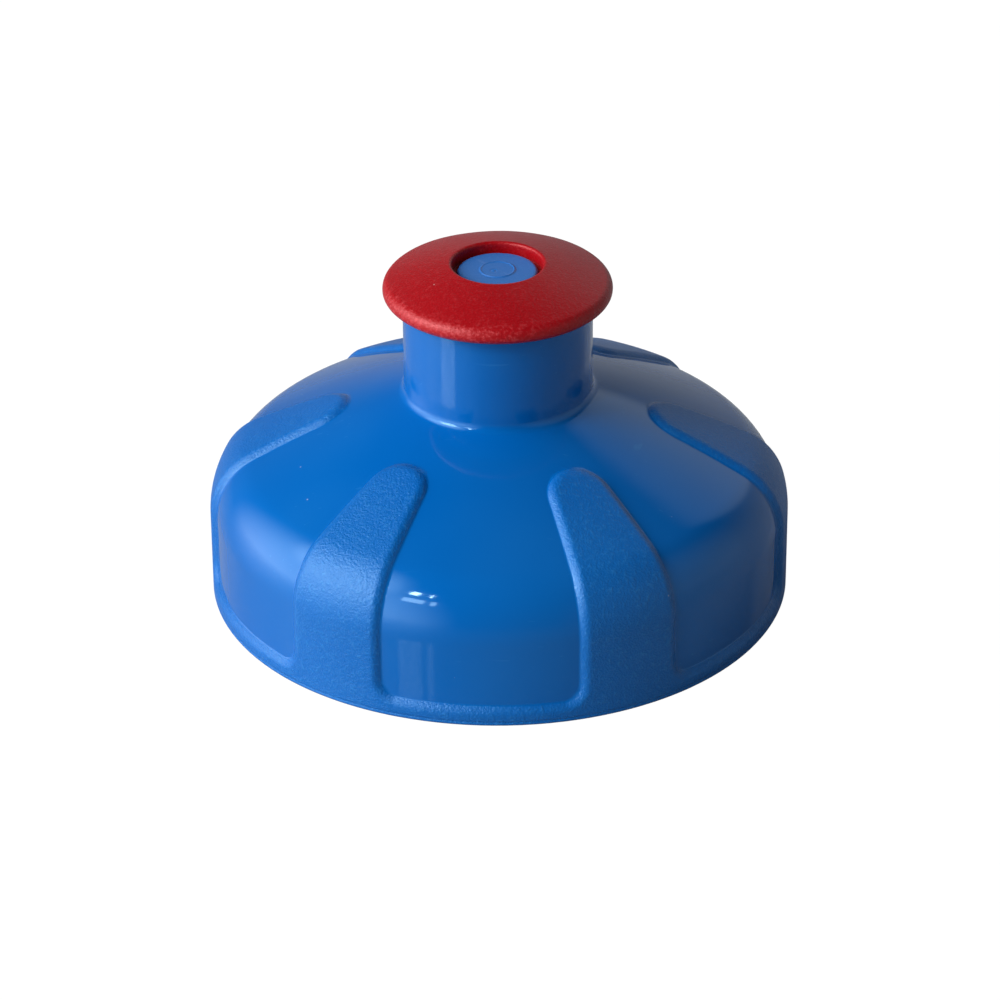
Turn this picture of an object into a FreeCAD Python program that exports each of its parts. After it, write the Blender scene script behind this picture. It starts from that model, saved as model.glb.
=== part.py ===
"""Push-pull drinking cap for a wide-mouth sports bottle, in millimetres.

The Z axis is the cap's own axis. Z = 0 is the flat rim that the cap stands on, and +Z points out of
the mouthpiece. The model is closed: the mouthpiece is pushed down on its post.
"""

import FreeCAD
import Part

import math
import os

from FreeCAD import Vector

# ---- thread for the bottle, which sets the cap's radius ----
CREST_R = 31.4            # inner radius of the thread and of the pilot land
THREAD_DEPTH = 1.25
THREAD_PITCH = 3.6
THREAD_TURNS = 1.5
THREAD_START_Z = 2.8      # centre of the ridge at its lower end
THREAD_ROOT_W = 2.4
THREAD_CREST_W = 1.0
MOUTH_CHAMFER = 0.5

# ---- skirt, shoulder and dome of the screw cap ----
SKIRT_WALL = 1.7
DOME_WALL = 1.7
WALL_TOP_Z = 10.4         # where the upright wall turns into the shoulder
SHOULDER_R = 8.5          # radius of the rounded shoulder, on the panels
SHOULDER_SLOPE = 28.1     # degrees, where the shoulder runs into the dome
DOME_R = 140.0            # crown radius of the dome
BAND_H = 2.5              # height of the raised rim band
RIM_CHAMFER = 0.4

# ---- grip ribs ----
RIB_RISE = 0.65           # how far ribs and band stand over the glossy panels
RIB_COUNT = 6
RIB_HALF_ANGLE = 10.4     # degrees
RIB_TIP_R = 17.9          # where a rib's rounded inner end starts, from the axis
PANEL_CORNER_R = 2.0

# ---- gasket and its seat ----
GASKET_T = 1.5
GASKET_W = 3.95
GASKET_SEAT_RISE = 4.0    # from the top of the upright wall to the seat
GASKET_GAP = 0.1          # free space round the gasket
GASKET_UNDERCUT = 0.6     # the seat is this much wider than the land, which keeps the gasket in
LAND_H = 1.8              # plain pilot land above the thread
LAND_BELOW_GASKET = 0.7
SEAL_RING_T = 1.0         # thin ring that holds the gasket from inside
SEAL_RING_LIFT = 0.3      # the ring ends this far above the gasket's face

# ---- neck ----
NECK_R = 11.3
NECK_WALL = 1.5
NECK_FILLET = 1.2
NECK_EDGE = 0.3
LIP_H = 1.4               # inward lip at the top, which stops the mouthpiece

# ---- socket under the neck, and the post insert in it ----
SOCKET_DEPTH = 3.8
SOCKET_STEP = 0.5         # the socket is this much wider than the neck's bore
COLLAR_WALL = 1.3
SOCKET_DROP = 1.3         # from the dome at the neck's foot down to the socket's seat
HUB_H = 3.4
HUB_WALL = 1.55
FIT_GAP = 0.05            # between pieces that are pushed together
WEB_COUNT = 3
WEB_W = 1.6
WEB_H = 2.6
POST_R = 3.8
POST_CORE_R = 2.4
POST_ROOF = 2.0
PLUG_R = 4.84             # head of the post, which closes the mouthpiece
PLUG_H = 4.85
PLUG_BELOW_RIM = 0.95     # the plug ends this far under the mouthpiece's top
PLUG_CONE_H = 0.8
PLUG_CHAMFER = 0.6
GATE_R = 2.07             # low moulded disc on the plug
GATE_H = 0.12

# ---- mouthpiece: hard stem and soft head ----
TRAVEL = 6.0
SLIDE_GAP = 0.2           # radial, between stem and neck lip
STEM_WALL = 1.7
STEM_STEP = 0.7           # the stem's tube is this much inside the neck's bore
STEM_FOOT_GAP = 2.9       # free height between the closed stem and the insert's hub
STOP_H = 1.0
BORE_GAP = 0.2            # radial, between the stem's beads and the neck's bore
SEAL_SECTION_R = 0.75     # radius of the O-ring's section
SEAL_BORE_GAP = 0.05
SEAL_GROOVE_GAP = 0.05
FLANGE_GRIP = 2.1         # how far the stem's upper flange reaches out into the head
FLANGE_T = 1.0
FLANGE_LIFT = 1.0         # from the neck's top to the flange
HEAD_OVERHANG = 2.35      # how far the head reaches out over the neck
HEAD_LIFT = 0.2           # gap between the neck's top and the closed head
HEAD_UNDER_ROUND = 0.85
HEAD_TOP_ROUND = 1.3
HEAD_SLOPE = 16.3         # degrees
MOUTH_GAP = 0.57          # radial, between the plug and the open mouth
MOUTH_EDGE = 0.35
MOUTH_H = 1.6             # depth of the open mouth above the sealing lip
SEAL_LIP_H = 0.6
SEAL_LIP_GAP = 0.1        # radial, between the lip and the plug

OVERSIZE = 60.0           # bigger than the cap, for cutting bodies
SINK = 0.5                # how deep an added feature is rooted in what carries it

# ---- values that follow ----
MAJOR_R = CREST_R + THREAD_DEPTH
PANEL_R = MAJOR_R + SKIRT_WALL
FOOT_R = NECK_R + NECK_FILLET
BORE_R = NECK_R - NECK_WALL
GASKET_SEAT_Z = WALL_TOP_Z + GASKET_SEAT_RISE
GASKET_FACE_Z = GASKET_SEAT_Z - GASKET_T
LAND_TOP_Z = GASKET_FACE_Z - LAND_BELOW_GASKET
LAND_Z = LAND_TOP_Z - LAND_H
SEAT_R = CREST_R + GASKET_UNDERCUT
GASKET_OUT_R = SEAT_R - GASKET_GAP
GASKET_IN_R = GASKET_OUT_R - GASKET_W


def polar(radius, degrees):
    """A point's r and z offsets at an angle from the r axis."""
    return radius * math.cos(math.radians(degrees)), radius * math.sin(math.radians(degrees))


# The shoulder's circle touches the wall, and the crown circle touches the shoulder where its slope is reached.
SHOULDER_C = (PANEL_R - SHOULDER_R, WALL_TOP_Z)
SHOULDER_END = 90 - SHOULDER_SLOPE
DOME_C = tuple(c - d for c, d in zip(SHOULDER_C, polar(DOME_R - SHOULDER_R, SHOULDER_END)))


def dome_z(r, offset=0.0):
    """Height of the crown circle, moved outwards by offset, at radius r."""
    return DOME_C[1] + math.sqrt((DOME_R + offset) ** 2 - (r - DOME_C[0]) ** 2)


# Socket under the neck, then the stem on it, and the neck as tall as stem, travel and lip need.
SOCKET_R = BORE_R + SOCKET_STEP
COLLAR_R = SOCKET_R + COLLAR_WALL
SOCKET_SEAT_Z = dome_z(FOOT_R) - SOCKET_DROP
COLLAR_Z = SOCKET_SEAT_Z - SOCKET_DEPTH
STEM_R = BORE_R - STEM_STEP
LIP_R = STEM_R + SLIDE_GAP
STEM_BORE_R = STEM_R - STEM_WALL
BEAD_R = BORE_R - BORE_GAP
SEAL_R = BORE_R - SEAL_BORE_GAP - SEAL_SECTION_R
GROOVE_R = SEAL_R - SEAL_SECTION_R - SEAL_GROOVE_GAP
GROOVE_W = 2 * (SEAL_SECTION_R + SEAL_GROOVE_GAP)
STEM_Z = SOCKET_SEAT_Z + STEM_FOOT_GAP
SEAL_Z = STEM_Z + STOP_H + GROOVE_W / 2
STOP_TOP_Z = SEAL_Z + GROOVE_W / 2 + STOP_H
LIP_Z = STOP_TOP_Z + TRAVEL
NECK_TOP_Z = LIP_Z + LIP_H
FLANGE_R = STEM_R + FLANGE_GRIP
FLANGE_Z = NECK_TOP_Z + FLANGE_LIFT
HEAD_R = NECK_R + HEAD_OVERHANG
HEAD_Z = NECK_TOP_Z + HEAD_LIFT
MOUTH_R = PLUG_R + MOUTH_GAP

# Top of the mouthpiece: the rim's equator, and the cone that runs up to the mouth.
EQUATOR_Z = HEAD_Z + HEAD_UNDER_ROUND
RIM_TOP = (HEAD_R - HEAD_TOP_ROUND + HEAD_TOP_ROUND * math.sin(math.radians(HEAD_SLOPE)),
           EQUATOR_Z + HEAD_TOP_ROUND * math.cos(math.radians(HEAD_SLOPE)))
MOUTH_Z = RIM_TOP[1] + (RIM_TOP[0] - MOUTH_R - MOUTH_EDGE) * math.tan(math.radians(HEAD_SLOPE))
PLUG_TOP_Z = MOUTH_Z - PLUG_BELOW_RIM


def at(r, z):
    """A point of a section, in the XZ plane."""
    return Vector(r, 0, z)


def arc(centre, radius, start, end):
    """An arc of a section, from one angle to another in degrees."""
    points = []
    for degrees in (start, (start + end) / 2, end):
        dr, dz = polar(radius, degrees)
        points.append(at(centre[0] + dr, centre[1] + dz))
    return Part.Arc(*points).toShape()


def section(*steps):
    """A closed face from points, which straight edges join, and ready edges."""
    edges, last, first = [], None, None
    for step in steps:
        begin = step if isinstance(step, Vector) else step.valueAt(step.FirstParameter)
        if last is not None and last.distanceToPoint(begin) > 1e-7:
            edges.append(Part.makeLine(last, begin))
        if not isinstance(step, Vector):
            edges.append(step)
            begin = step.valueAt(step.LastParameter)
        first = first or (step if isinstance(step, Vector) else step.valueAt(step.FirstParameter))
        last = begin
    edges.append(Part.makeLine(last, first))
    return Part.Face(Part.Wire(edges))


def turned(face):
    """The solid that a section makes when it turns about Z."""
    return face.revolve(Vector(0, 0, 0), Vector(0, 0, 1), 360)


def tube(r_out, r_in, z0, z1):
    """A plain ring."""
    ring = Part.makeCylinder(r_out, z1 - z0, Vector(0, 0, z0))
    return ring.cut(Part.makeCylinder(r_in, z1 - z0, Vector(0, 0, z0)))


def shell_body():
    """The cap's wall in one section: panel surface outside, all seats inside."""
    fillet_r = DOME_R + NECK_FILLET
    fillet_z = DOME_C[1] + math.sqrt(fillet_r ** 2 - (FOOT_R - DOME_C[0]) ** 2)
    foot_angle = math.degrees(math.atan2(fillet_z - DOME_C[1], FOOT_R - DOME_C[0]))
    ring_in_r = GASKET_IN_R - FIT_GAP - SEAL_RING_T
    inside = -DOME_WALL
    inner_ends = [math.degrees(math.acos((r - DOME_C[0]) / (DOME_R + inside))) for r in (COLLAR_R, ring_in_r)]
    return turned(section(
        at(PANEL_R, 0),
        arc(SHOULDER_C, SHOULDER_R, 0, SHOULDER_END),
        arc(DOME_C, DOME_R, SHOULDER_END, foot_angle),
        arc((FOOT_R, fillet_z), NECK_FILLET, foot_angle + 180, 180),
        at(NECK_R, NECK_TOP_Z - NECK_EDGE),
        at(NECK_R - NECK_EDGE, NECK_TOP_Z),
        at(LIP_R, NECK_TOP_Z),
        at(LIP_R, LIP_Z),
        at(BORE_R, LIP_Z),
        at(BORE_R, SOCKET_SEAT_Z),
        at(SOCKET_R, SOCKET_SEAT_Z),
        at(SOCKET_R, COLLAR_Z),
        at(COLLAR_R, COLLAR_Z),
        arc(DOME_C, DOME_R + inside, inner_ends[0], inner_ends[1]),
        at(ring_in_r, GASKET_FACE_Z + SEAL_RING_LIFT),
        at(ring_in_r + SEAL_RING_T, GASKET_FACE_Z + SEAL_RING_LIFT),
        at(ring_in_r + SEAL_RING_T, GASKET_SEAT_Z),
        at(SEAT_R, GASKET_SEAT_Z),
        at(SEAT_R, LAND_TOP_Z),
        at(CREST_R, LAND_TOP_Z),
        at(CREST_R, LAND_Z),
        at(MAJOR_R, LAND_Z - THREAD_DEPTH),
        at(MAJOR_R, MOUTH_CHAMFER),
        at(MAJOR_R + MOUTH_CHAMFER, 0),
    ))


def raised_skin():
    """A full skin one rib's rise over the panels, from the rim to inside the rib tips."""
    inner_r = RIB_TIP_R - SINK
    low, high = -SINK, RIB_RISE
    ends = [math.degrees(math.acos((inner_r - DOME_C[0]) / (DOME_R + h))) for h in (low, high)]
    return turned(section(
        at(PANEL_R + low, 0),
        at(PANEL_R + high - RIM_CHAMFER, 0),
        at(PANEL_R + high, RIM_CHAMFER),
        arc(SHOULDER_C, SHOULDER_R + high, 0, SHOULDER_END),
        arc(DOME_C, DOME_R + high, SHOULDER_END, ends[1]),
        arc(DOME_C, DOME_R + low, ends[0], SHOULDER_END),
        arc(SHOULDER_C, SHOULDER_R + low, SHOULDER_END, 0),
    ))


def rib_prism():
    """An upright prism over one rib: a wedge whose inner end is round, along +X."""
    half = math.radians(RIB_HALF_ANGLE)
    touch_r = RIB_TIP_R / (1 - math.sin(half)) * math.cos(half)
    touch = Vector(touch_r * math.cos(half), touch_r * math.sin(half), 0)
    far = Vector(OVERSIZE * math.cos(half), OVERSIZE * math.sin(half), 0)
    tip = Vector(RIB_TIP_R, 0, 0)
    edges = [
        Part.Arc(touch, tip, Vector(touch.x, -touch.y, 0)).toShape(),
        Part.makeLine(Vector(touch.x, -touch.y, 0), Vector(far.x, -far.y, 0)),
        Part.makeLine(Vector(far.x, -far.y, 0), far),
        Part.makeLine(far, touch),
    ]
    return Part.Face(Part.Wire(edges)).extrude(Vector(0, 0, OVERSIZE))


def panel_window():
    """A cutter for one panel between two ribs, with its lower corners rounded, about the +X direction."""
    half = math.radians(180 / RIB_COUNT - RIB_HALF_ANGLE)
    corner_z = BAND_H + PANEL_CORNER_R
    inner_r = PANEL_R - 2 * SINK
    near = [Vector(inner_r * math.cos(s * half), inner_r * math.sin(s * half), 0) for s in (-1, 1)]
    far = [Vector(OVERSIZE * math.cos(s * half), OVERSIZE * math.sin(s * half), 0) for s in (-1, 1)]
    wedge = Part.Face(Part.makePolygon([near[0], far[0], far[1], near[1], near[0]]))
    upper = wedge.extrude(Vector(0, 0, OVERSIZE))
    upper.translate(Vector(0, 0, corner_z))
    turn = math.asin(PANEL_CORNER_R / PANEL_R)
    narrow = [Vector(r * math.cos(s * (half - turn)), r * math.sin(s * (half - turn)), 0)
              for s, r in ((-1, inner_r), (-1, OVERSIZE), (1, OVERSIZE), (1, inner_r), (-1, inner_r))]
    lower = Part.Face(Part.makePolygon(narrow)).extrude(Vector(0, 0, corner_z - BAND_H + SINK))
    lower.translate(Vector(0, 0, BAND_H))
    window = upper.fuse(lower)
    for side in (-1, 1):
        direction = Vector(math.cos(side * (half - turn)), math.sin(side * (half - turn)), 0)
        rod = Part.makeCylinder(PANEL_CORNER_R, OVERSIZE - inner_r, direction * inner_r + Vector(0, 0, corner_z),
                                direction)
        window = window.fuse(rod)
    return window


def about_axis(shape, count, start=0.0):
    """Copies of a shape, evenly spaced about Z, as a list."""
    copies = []
    for n in range(count):
        copy = shape.copy()
        copy.rotate(Vector(0, 0, 0), Vector(0, 0, 1), start + n * 360 / count)
        copies.append(copy)
    return copies


def grip_frame():
    """Six ribs and the rim band that joins them, with rounded panel corners."""
    skin = raised_skin()
    ribs = skin.common(Part.makeCompound(about_axis(rib_prism(), RIB_COUNT)))
    band = skin.common(Part.makeCylinder(OVERSIZE, BAND_H + PANEL_CORNER_R))
    windows = about_axis(panel_window(), RIB_COUNT, 180 / RIB_COUNT)
    return ribs.Solids + band.cut(windows).Solids


def thread_ridge():
    """The raised helical thread, rooted in the skirt and trimmed to its crest radius."""
    embed_r = MAJOR_R + SINK
    over_r = CREST_R - SINK / 2
    path = Part.makeHelix(THREAD_PITCH, THREAD_PITCH * THREAD_TURNS, MAJOR_R)
    grow = (THREAD_ROOT_W - THREAD_CREST_W) / 2 / THREAD_DEPTH
    root = THREAD_ROOT_W / 2 + grow * SINK
    crest = THREAD_CREST_W / 2 - grow * SINK / 2
    profile = Part.makePolygon([at(embed_r, -root), at(over_r, -crest), at(over_r, crest), at(embed_r, root),
                                at(embed_r, -root)])
    ridge = Part.Wire(path.Edges).makePipeShell([profile], True, True)
    ridge.translate(Vector(0, 0, THREAD_START_Z))
    return ridge.cut(Part.makeCylinder(CREST_R, OVERSIZE))


def cap_shell():
    """The screw cap: skirt, shoulder, dome and neck, with grip ribs outside and a thread inside."""
    shell = shell_body().fuse(grip_frame()).removeSplitter()
    return shell.fuse(thread_ridge())


def rim_gasket():
    """Flat soft ring that the bottle's rim presses on."""
    return tube(GASKET_OUT_R, GASKET_IN_R, GASKET_FACE_Z, GASKET_SEAT_Z)


def post_insert():
    """Hub ring, three webs and the hollow centre post, in one moulding."""
    hub_r = SOCKET_R - FIT_GAP
    hub_z = SOCKET_SEAT_Z - HUB_H
    cone_top = PLUG_TOP_Z - PLUG_H
    post = turned(section(
        at(POST_CORE_R, hub_z),
        at(POST_R, hub_z),
        at(POST_R, cone_top - PLUG_CONE_H),
        at(PLUG_R, cone_top),
        at(PLUG_R, PLUG_TOP_Z - PLUG_CHAMFER),
        at(PLUG_R - PLUG_CHAMFER, PLUG_TOP_Z),
        at(GATE_R, PLUG_TOP_Z),
        at(GATE_R, PLUG_TOP_Z + GATE_H),
        at(0, PLUG_TOP_Z + GATE_H),
        at(0, PLUG_TOP_Z - POST_ROOF),
        at(POST_CORE_R, PLUG_TOP_Z - POST_ROOF),
    ))
    hub = tube(hub_r, hub_r - HUB_WALL, hub_z, SOCKET_SEAT_Z)
    web_in_r = (POST_R + POST_CORE_R) / 2
    web = Part.makeBox(hub_r - HUB_WALL / 2 - web_in_r, WEB_W, WEB_H, Vector(web_in_r, -WEB_W / 2, hub_z))
    return post.fuse([hub] + about_axis(web, WEB_COUNT, 90)).removeSplitter()


def mouthpiece_stem():
    """Hard sliding tube: foot bead, seal groove, stop bead, and the flange that holds the head."""
    groove_low = SEAL_Z - GROOVE_W / 2
    groove_high = SEAL_Z + GROOVE_W / 2
    return turned(section(
        at(STEM_BORE_R, STEM_Z),
        at(BEAD_R, STEM_Z),
        at(BEAD_R, groove_low),
        at(GROOVE_R, groove_low),
        at(GROOVE_R, groove_high),
        at(BEAD_R, groove_high),
        at(BEAD_R, STOP_TOP_Z),
        at(STEM_R, STOP_TOP_Z),
        at(STEM_R, FLANGE_Z),
        at(FLANGE_R, FLANGE_Z),
        at(FLANGE_R, FLANGE_Z + FLANGE_T),
        at(STEM_BORE_R, FLANGE_Z + FLANGE_T),
    ))


def stem_seal():
    """O-ring in the stem's groove, which runs along the neck's bore."""
    return Part.makeTorus(SEAL_R, SEAL_SECTION_R, Vector(0, 0, SEAL_Z))


def mouthpiece_head():
    """Soft round head: it hooks under the stem's flange, and its lip closes on the post's plug."""
    lip_top = MOUTH_Z - MOUTH_H
    lip_r = PLUG_R + SEAL_LIP_GAP
    flange_top = FLANGE_Z + FLANGE_T
    under = (HEAD_R - HEAD_UNDER_ROUND, EQUATOR_Z)
    over = (HEAD_R - HEAD_TOP_ROUND, EQUATOR_Z)
    edge_c = (MOUTH_R + MOUTH_EDGE, MOUTH_Z - MOUTH_EDGE)
    return turned(section(
        at(STEM_R + FIT_GAP, HEAD_Z),
        arc(under, HEAD_UNDER_ROUND, -90, 0),
        arc(over, HEAD_TOP_ROUND, 0, 90 - HEAD_SLOPE),
        arc(edge_c, MOUTH_EDGE, 90 - HEAD_SLOPE, 180),
        at(MOUTH_R, lip_top),
        at(lip_r, lip_top),
        at(lip_r, lip_top - SEAL_LIP_H),
        at(STEM_BORE_R, flange_top),
        at(FLANGE_R + FIT_GAP, flange_top),
        at(FLANGE_R + FIT_GAP, FLANGE_Z - FIT_GAP),
        at(STEM_R + FIT_GAP, FLANGE_Z - FIT_GAP),
    ))


PIECES = (cap_shell, rim_gasket, post_insert, mouthpiece_stem, stem_seal, mouthpiece_head)


def main():
    """Builds each piece and writes it to its own STEP file."""
    os.makedirs("parts", exist_ok=True)
    for make in PIECES:
        shape = make()
        box = shape.BoundBox
        print(f"{make.__name__:16s} solids {len(shape.Solids)} valid {shape.isValid()} "
              f"volume {shape.Volume:9.1f} z {box.ZMin:6.2f} to {box.ZMax:6.2f} r {box.XMax:6.2f}")
        shape.exportStep(f"parts/{make.__name__}.step")


main()
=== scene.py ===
"""Push-pull cap of a wide-mouth drinking bottle: its looks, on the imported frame.

The pieces' sizes are millimetres and degrees. Depths of a finish, lights and camera are in metres, and texture
scales are per metre. Every mesh is built in metres in the frame's own axes: +Z up the cap's axis, the flat rim at
Z = 0, and -Y through the middle of one smooth panel.
"""

import logging
import math
from dataclasses import dataclass, field
from enum import Enum

import bpy
import numpy as np
from mathutils import Matrix, Vector


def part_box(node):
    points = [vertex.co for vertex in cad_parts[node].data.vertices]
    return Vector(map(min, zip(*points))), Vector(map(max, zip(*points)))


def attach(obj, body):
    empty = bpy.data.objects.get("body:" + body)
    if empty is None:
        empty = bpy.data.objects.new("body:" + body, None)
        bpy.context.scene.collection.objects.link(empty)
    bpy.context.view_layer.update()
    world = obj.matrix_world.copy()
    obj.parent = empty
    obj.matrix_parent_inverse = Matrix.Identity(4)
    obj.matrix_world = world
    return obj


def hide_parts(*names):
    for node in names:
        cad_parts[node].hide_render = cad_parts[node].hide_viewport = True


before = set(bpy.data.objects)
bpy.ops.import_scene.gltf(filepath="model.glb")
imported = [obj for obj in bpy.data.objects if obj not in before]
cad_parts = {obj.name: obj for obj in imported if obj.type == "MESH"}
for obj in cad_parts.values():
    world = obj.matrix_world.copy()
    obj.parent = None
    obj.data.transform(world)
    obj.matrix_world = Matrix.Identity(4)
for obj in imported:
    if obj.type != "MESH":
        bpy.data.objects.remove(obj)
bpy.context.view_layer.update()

log = logging.getLogger("bottle_cap")

MM = 0.001
TAU = 2.0 * math.pi
TOUCH = 0.02  # millimetres within which a point counts as on a wall
Array = np.ndarray


class Edge(Enum):
    """How sharply the corners of a turned outline are rounded, in millimetres."""

    CRISP = 0.08
    MOULDED = 0.18
    SOFT = 0.32


# ---------------------------------------------------------------- outlines and grids


def arc(centre: tuple[float, float], radius: float, start: float, end: float, steps: int) -> Array:
    """Points on a circle: centre + radius (cos a, sin a), with a going evenly from start to end.

    Args:
        centre: r and z of the circle's centre.
        radius: Radius of the circle.
        start: First angle, in degrees from the r axis.
        end: Last angle, in degrees.
        steps: Number of spans.
    Returns:
        Array of steps + 1 rows of (r, z).
    """
    angle = np.radians(np.linspace(start, end, steps + 1))
    return np.stack([centre[0] + radius * np.cos(angle), centre[1] + radius * np.sin(angle)], axis=1)


def run(start: Array, end: Array, step: float, support: float = 0.12) -> Array:
    """Points along a straight stretch, with one extra point close to each end that keeps its shading flat.

    Args:
        start: First point.
        end: Last point.
        step: Longest span between points.
        support: Distance of the extra points from the ends.
    Returns:
        Array of points from start to end.
    """
    length = float(np.linalg.norm(end - start))
    near = min(support, length / 3.0)
    inner = np.linspace(near, length - near, max(2, int(math.ceil((length - 2 * near) / step)) + 1))
    along = np.concatenate([[0.0], inner, [length]])
    return start + (end - start) * (along / max(length, 1e-9))[:, None]


def chain(*parts: Array) -> Array:
    """Stretches joined end to end, with repeated points dropped."""
    points = np.concatenate(parts)
    keep = np.concatenate([[True], np.linalg.norm(np.diff(points, axis=0), axis=1) > 1e-6])
    return points[keep]


def rounded(corners: list[tuple[float, float]], radius: float, step: float = 1.0, closed: bool = True) -> Array:
    """An outline through corners, each replaced by an arc that touches both of its sides.

    For a corner with half angle h between its sides, the arc touches each side radius / tan(h) from the corner
    and is centred on the bisector at radius / sin(h). The radius shrinks where a side is too short for it.

    Args:
        corners: The corners as (r, z). Open outlines keep their two end points as they are.
        radius: Corner radius.
        step: Longest span on the straight stretches.
        closed: Whether the last corner joins the first.
    Returns:
        Array of (r, z) points.
    """
    points = np.array(corners, float)
    count = len(points)
    bends = []
    for i in range(count):
        if not closed and i in (0, count - 1):
            bends.append(points[i:i + 1])
            continue
        here, before, after = points[i], points[i - 1], points[(i + 1) % count]
        to_before, to_after = before - here, after - here
        reach = 0.45 * min(np.linalg.norm(to_before), np.linalg.norm(to_after))
        to_before, to_after = to_before / np.linalg.norm(to_before), to_after / np.linalg.norm(to_after)
        half = 0.5 * math.acos(float(np.clip(to_before @ to_after, -1, 1)))
        fit = min(radius, reach * math.tan(half))
        centre = here + (to_before + to_after) / np.linalg.norm(to_before + to_after) * fit / math.sin(half)
        first, last = here + to_before * fit / math.tan(half), here + to_after * fit / math.tan(half)
        a0 = math.atan2(*(first - centre)[::-1])
        turn = (math.atan2(*(last - centre)[::-1]) - a0 + math.pi) % TAU - math.pi
        bends.append(arc(tuple(centre), fit, math.degrees(a0), math.degrees(a0 + turn), 3))
    parts = []
    for i in range(count if closed else count - 1):
        parts += [bends[i], run(bends[i][-1], bends[(i + 1) % count][0], step)]
    outline = chain(*parts, *([] if closed else [bends[-1]]))
    return outline[:-1] if closed and np.allclose(outline[0], outline[-1], atol=1e-6) else outline


def turn(outline: Array, angles: Array) -> Array:
    """A surface of revolution: the point at (r, z) and angle a is (r cos a, r sin a, z).

    Args:
        outline: Rows of (r, z).
        angles: Angles about Z, in radians.
    Returns:
        Grid of points, outline by angles by 3.
    """
    r, z = outline[:, :1], outline[:, 1:]
    return np.stack([r * np.cos(angles), r * np.sin(angles), z + 0.0 * angles], axis=2)


def even(count: int) -> Array:
    """Angles evenly round a full circle."""
    return np.linspace(0.0, TAU, count, endpoint=False)


def outline_normals(outline: Array) -> Array:
    """Unit normals of a closed outline, from the chord between each point's two neighbours."""
    chord = np.roll(outline, -1, axis=0) - np.roll(outline, 1, axis=0)
    normal = np.stack([chord[:, 1], -chord[:, 0]], axis=1)
    return normal / np.maximum(np.linalg.norm(normal, axis=1, keepdims=True), 1e-9)


def smooth(value: Array) -> Array:
    """The cubic step 3 t^2 - 2 t^3, with t held between 0 and 1."""
    t = np.clip(value, 0.0, 1.0)
    return t * t * (3.0 - 2.0 * t)


def solid_mesh(name: str, grid: Array, closed_outline: bool = True) -> bpy.types.Object:
    """A closed, outward-facing mesh from a grid that wraps in its second direction.

    Args:
        name: Object's name.
        grid: Points in millimetres, outline by angle by 3.
        closed_outline: True where the outline is a loop. If False, its two ends lie on the axis and become poles.
    Returns:
        The new object, at the origin.
    """
    rows, columns = grid.shape[:2]
    index = np.arange(rows * columns).reshape(rows, columns)
    spans = rows if closed_outline else rows - 1
    low, high = index[np.arange(spans)], index[(np.arange(spans) + 1) % rows]
    quads = np.stack([low, np.roll(low, -1, axis=1), np.roll(high, -1, axis=1), high], axis=-1)
    points = grid.reshape(-1, 3).copy()
    fans = np.zeros((0, 3), int)
    if not closed_outline:
        quads = quads[1:-1]
        first, last = index[1], index[-2]
        fans = np.concatenate([
            np.stack([np.full(columns, index[0, 0]), np.roll(first, -1), first], axis=1),
            np.stack([np.full(columns, index[-1, 0]), last, np.roll(last, -1)], axis=1)])
    quads = quads.reshape(-1, 4)
    triangles = np.concatenate([quads[:, [0, 1, 2]], quads[:, [0, 2, 3]], fans])
    a, b, c = (points[triangles[:, k]] for k in range(3))
    if float(np.einsum("ij,ij->", a, np.cross(b, c))) < 0:
        quads, fans = quads[:, ::-1], fans[:, ::-1]
    used = np.unique(np.concatenate([quads.ravel(), fans.ravel()]))
    renumber = np.zeros(len(points), int)
    renumber[used] = np.arange(len(used))
    mesh = bpy.data.meshes.new(name)
    mesh.from_pydata((points[used] * MM).tolist(), [], renumber[quads].tolist() + renumber[fans].tolist())
    mesh.polygons.foreach_set("use_smooth", np.ones(len(mesh.polygons), bool))
    mesh.update()
    return add_object(name, mesh)


def store(piece: bpy.types.Object, name: str, values: Array) -> None:
    """Stores one number per vertex as a named attribute."""
    layer = piece.data.attributes.new(name, "FLOAT", "POINT")
    layer.data.foreach_set("value", values.astype(np.float32).ravel())


def add_object(name: str, data: bpy.types.ID) -> bpy.types.Object:
    """Links a new object that holds the given data into the scene, and returns it."""
    thing = bpy.data.objects.new(name, data)
    bpy.context.scene.collection.objects.link(thing)
    return thing


def direction(bearing: float, elevation: float) -> Vector:
    """The unit vector (cos b cos e, sin b cos e, sin e) for a bearing and an elevation in degrees."""
    b, e = math.radians(bearing), math.radians(elevation)
    return Vector((math.cos(b) * math.cos(e), math.sin(b) * math.cos(e), math.sin(e)))


# ---------------------------------------------------------------- shader helpers


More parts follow.
